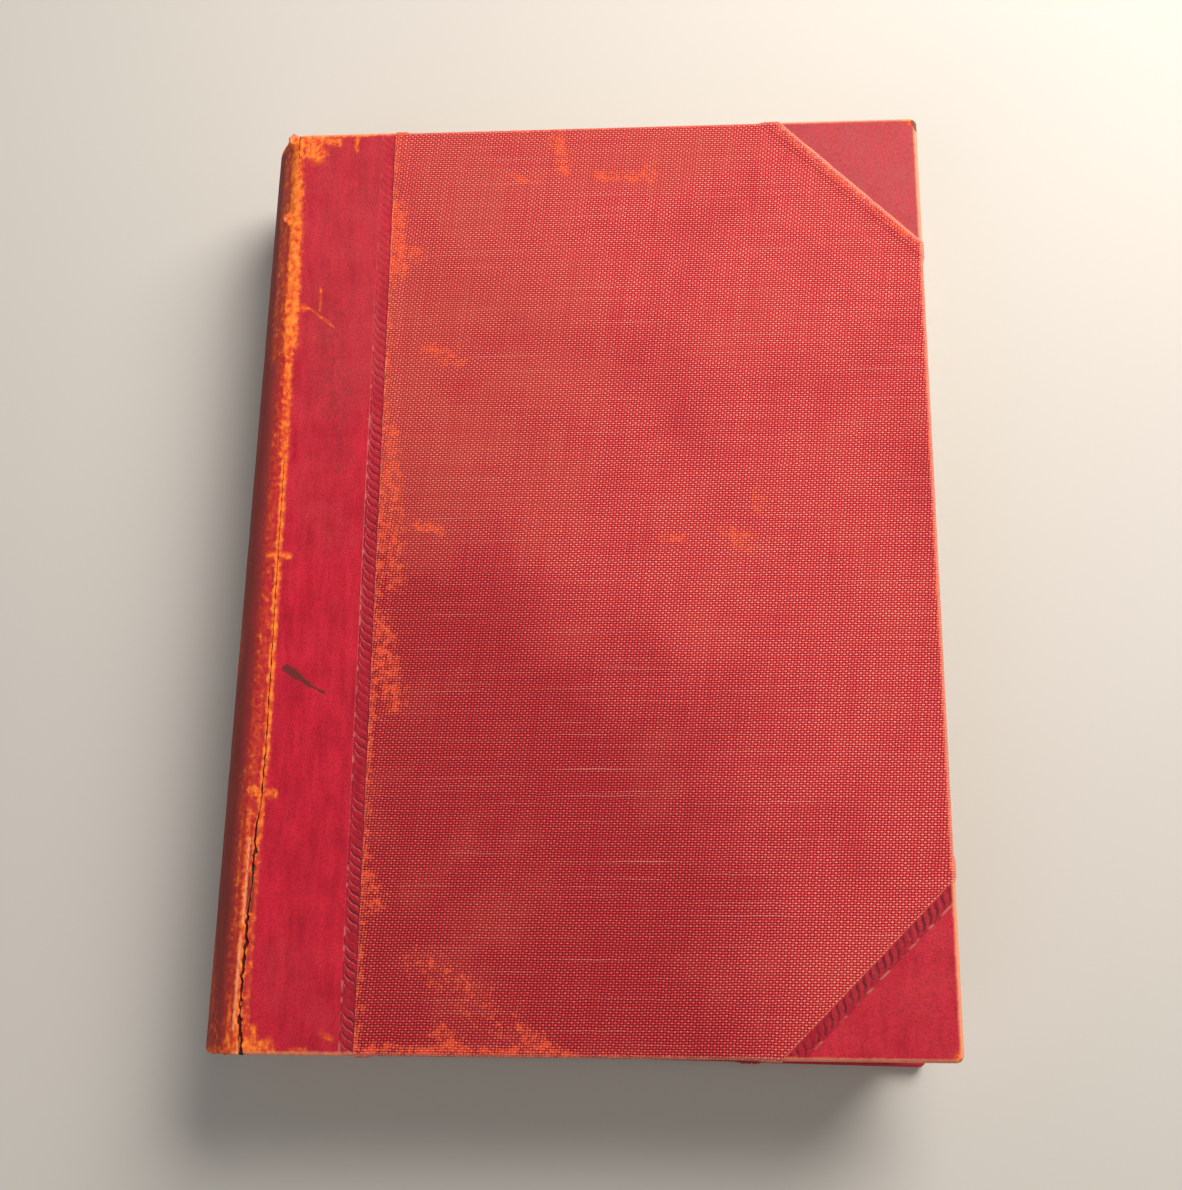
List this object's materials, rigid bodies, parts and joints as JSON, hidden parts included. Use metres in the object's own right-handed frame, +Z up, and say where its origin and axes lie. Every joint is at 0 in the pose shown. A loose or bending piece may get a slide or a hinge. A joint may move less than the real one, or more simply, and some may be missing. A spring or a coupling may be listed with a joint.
{
  "type": "hardback book",
  "caption": "Half-leather hardback book lying closed, with a rounded leather spine, leather corners, cloth sides and covers that open.",
  "frame": {"origin": "middle of the bottom of the whole closed book", "axes": "+X from the spine to the fore-edge, +Y from the tail to the head, +Z up from the rear cover to the front cover"},
  "size_m": [0.1752, 0.2379, 0.036],
  "materials": {
    "leather": "worn crimson leather, rubbed to tan at the joints and tips",
    "bookcloth": "coarse plain-woven dusty red bookcloth",
    "board": "matt millboard",
    "pages": "aged paper edges",
    "endpaper": "aged plain paper",
    "mull": "open glued cotton",
    "stiffener": "brown paper",
    "endband": "sewn thread over a core"
  },
  "bodies": {
    "leaves": {"text_block": "pages", "spine_lining": "mull", "head_band": "endband", "tail_band": "endband", "spine_stiffener": "stiffener", "spine_leather": "leather"},
    "front_cover": {"front_board": "board", "front_leather_strip": "leather", "front_head_corner": "leather", "front_tail_corner": "leather", "front_cloth": "bookcloth", "front_pastedown": "endpaper"},
    "rear_cover": {"rear_board": "board", "rear_leather_strip": "leather", "rear_head_corner": "leather", "rear_tail_corner": "leather", "rear_cloth": "bookcloth", "rear_pastedown": "endpaper"}
  },
  "joints": [
    {"name": "front_joint", "type": "hinge", "parent": "leaves", "child": "front_cover", "pos_m": [-0.07659, -0.00126, 0.036], "axis": [0.0157, -0.9999, 0], "range_deg": [0, 180]},
    {"name": "rear_joint", "type": "hinge", "parent": "leaves", "child": "rear_cover", "pos_m": [-0.07843, -0.00127, 0], "axis": [0, 1, 0], "range_deg": [0, 180]}
  ]
}
